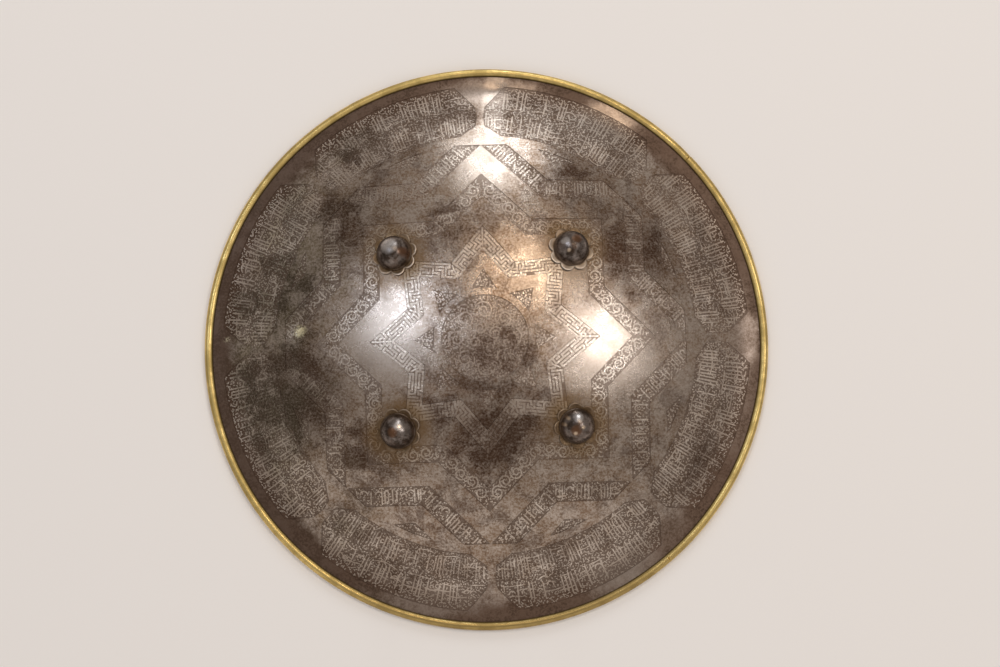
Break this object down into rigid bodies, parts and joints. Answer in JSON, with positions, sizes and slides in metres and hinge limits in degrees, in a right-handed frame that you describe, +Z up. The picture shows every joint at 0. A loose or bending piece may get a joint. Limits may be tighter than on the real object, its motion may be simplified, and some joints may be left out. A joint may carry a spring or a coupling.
{
  "type": "round shield",
  "caption": "Round domed steel shield with sunk star-pattern ornament, folded brass edging and domed bosses riveted through petalled washers.",
  "frame": {"origin": "centre of the shield's round outline, in the plane it lies on", "axes": "+Z up out of the domed face; the bosses lie on the diagonals between +X and +Y"},
  "size_m": [0.4598, 0.4598, 0.0673],
  "materials": {
    "patinated_steel": "dark brown patina, worn grey on the raised ornament",
    "boss_steel": "dark polished steel, lightly pitted",
    "brass": "tarnished yellow brass"
  },
  "bodies": {
    "root": {"shield_bowl": "patinated_steel", "brass_rim": "brass", "rosette_1": "boss_steel", "rosette_2": "boss_steel", "rosette_3": "boss_steel", "rosette_4": "boss_steel", "boss_1": "boss_steel", "boss_2": "boss_steel", "boss_3": "boss_steel", "boss_4": "boss_steel"}
  },
  "joints": []
}
